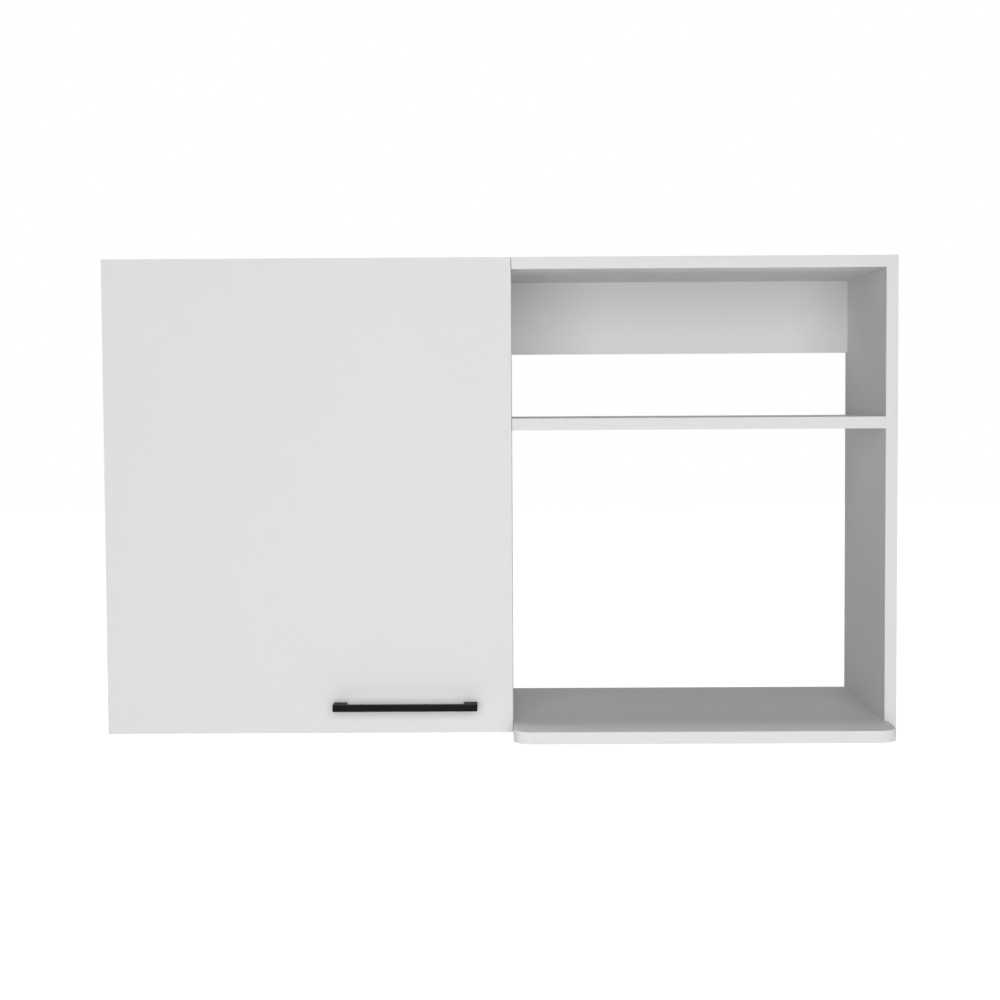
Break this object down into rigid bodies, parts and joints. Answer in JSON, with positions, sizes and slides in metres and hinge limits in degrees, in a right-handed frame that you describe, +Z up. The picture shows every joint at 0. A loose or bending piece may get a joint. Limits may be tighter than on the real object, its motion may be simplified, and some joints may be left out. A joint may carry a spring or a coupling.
{
  "type": "kitchen wall cabinet with an open microwave bay",
  "caption": "White kitchen wall cabinet: one hinged door with a black bar handle beside an open bay with a shelf and a deep, rounded microwave shelf.",
  "frame": {"origin": "on the wall plane, midway across the cabinet, on the line of the wall screws", "axes": "+X to the right as seen from the room, +Y towards the wall, +Z up"},
  "size_m": [1, 0.36, 0.603],
  "materials": {
    "white_board": "matt white coating on particle board",
    "edge_band": "matt white",
    "back_board": "white lacquer on thin fibre board",
    "steel": "nickel plated",
    "zinc": "zinc casting",
    "beech": "plain, grooved",
    "black_metal": "matt black powder coat",
    "white_plastic": "matt",
    "clear_plastic": "soft, cloudy"
  },
  "bodies": {
    "case": {"left_side": "white_board", "divider": "white_board", "right_side": "white_board", "left_top": "white_board", "left_bottom": "white_board", "right_top": "white_board", "middle_shelf": "white_board", "microwave_shelf": "white_board", "left_rail": "white_board", "right_rail": "white_board", "back_panel": "back_board", "adjustable_shelf": "white_board", "shelf_pins": "steel", "case_edge_bands": "edge_band", "shelf_edge_band": "edge_band", "dowels": "beech", "cam_locks": "zinc", "cam_bolts": "steel", "shelf_screws": "steel", "screw_caps": "white_plastic", "hinge_plates": "steel", "plate_screws": "steel", "hinge_arms": "steel", "arm_screws": "steel", "arm_pins": "steel"},
    "outer_links": {"outer_links": "steel"},
    "inner_links": {"inner_links": "zinc"},
    "door": {"door_panel": "white_board", "door_edge_bands": "edge_band", "door_bumpers": "clear_plastic", "handle": "black_metal", "handle_screws": "steel", "hinge_cups": "steel", "cup_screws": "steel"}
  },
  "joints": [
    {"name": "door_hinge", "type": "hinge", "parent": "outer_links", "child": "door", "pos_m": [-0.4896, -0.2771, -0.235], "axis": [0, 0, 1], "range_deg": [-123.3, 0]},
    {"name": "outer_link_pivot", "type": "hinge", "parent": "case", "child": "outer_links", "pos_m": [-0.464, -0.2595, -0.235], "axis": [0, 0, 1], "range_deg": [0, 28.32]},
    {"name": "inner_link_pivot", "type": "hinge", "parent": "case", "child": "inner_links", "pos_m": [-0.4725, -0.2674, -0.235], "axis": [0, 0, 1], "range_deg": [0, 15.32]}
  ],
  "couplings": [
    {"joint": "outer_link_pivot", "follows": "door_hinge", "ratio": -0.22952},
    {"joint": "inner_link_pivot", "follows": "door_hinge", "ratio": -0.12409}
  ]
}
